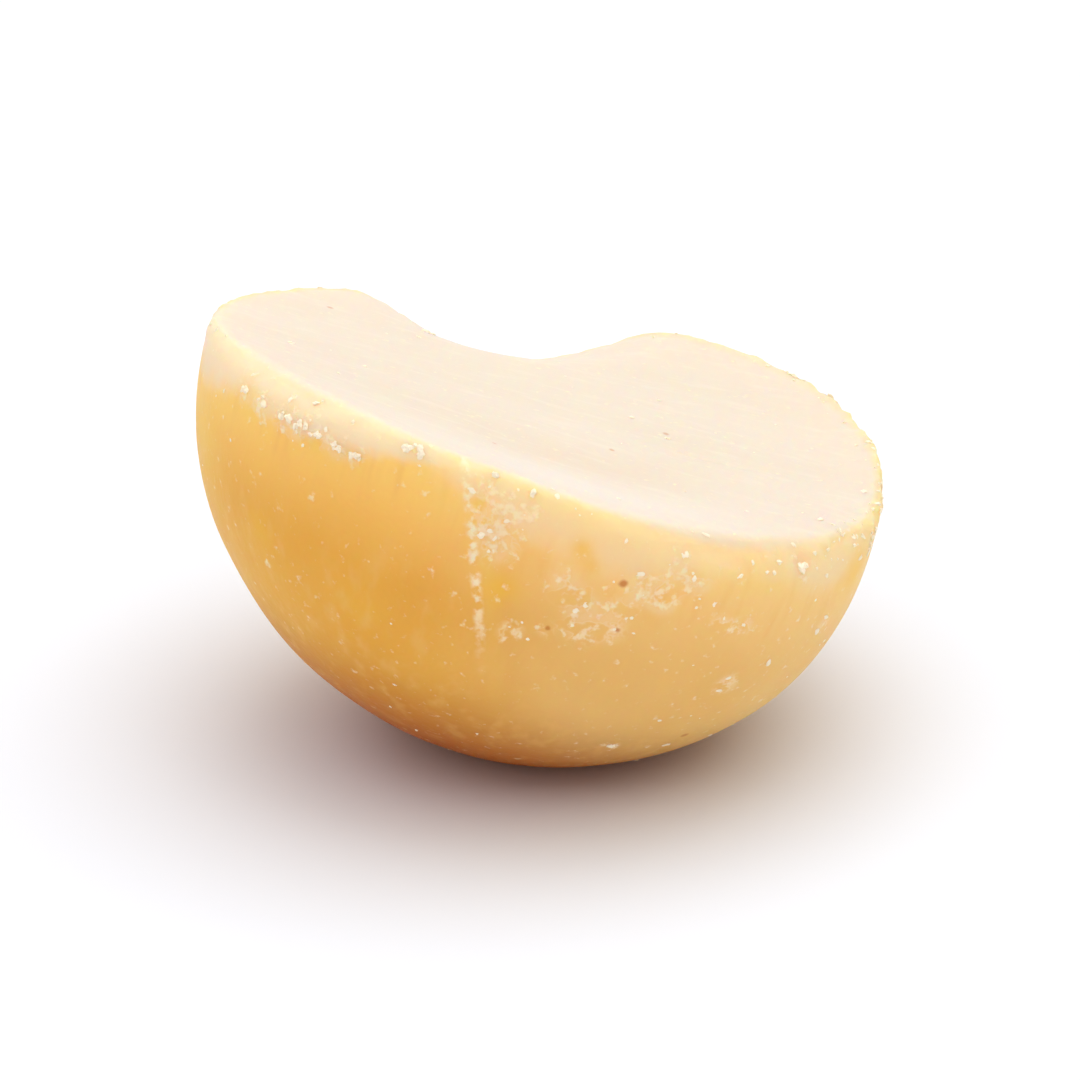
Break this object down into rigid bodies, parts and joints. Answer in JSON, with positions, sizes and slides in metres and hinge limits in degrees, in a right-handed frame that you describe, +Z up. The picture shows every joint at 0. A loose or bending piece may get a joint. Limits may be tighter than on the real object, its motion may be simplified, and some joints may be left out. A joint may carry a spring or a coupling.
{
  "type": "macadamia nut kernel half",
  "caption": "Shelled macadamia kernel half on its rounded back, with a dished split face, a bitten back edge, a bevelled rim and a small flat it rests on.",
  "frame": {"origin": "on the surface it rests on, under the centre of its bounding box", "axes": "+Z up, out of the resting flat; +X along the split face towards its lower, blunt end; +Y towards the edge with the bite"},
  "size_m": [0.0188, 0.018, 0.0125],
  "materials": {
    "kernel": "raw nut kernel: golden, slightly waxy skin on the rounded back, paler where it is peeled; smooth matte cream flesh on the split face and in the bite"
  },
  "bodies": {
    "root": {"kernel_half": "kernel"}
  },
  "joints": []
}
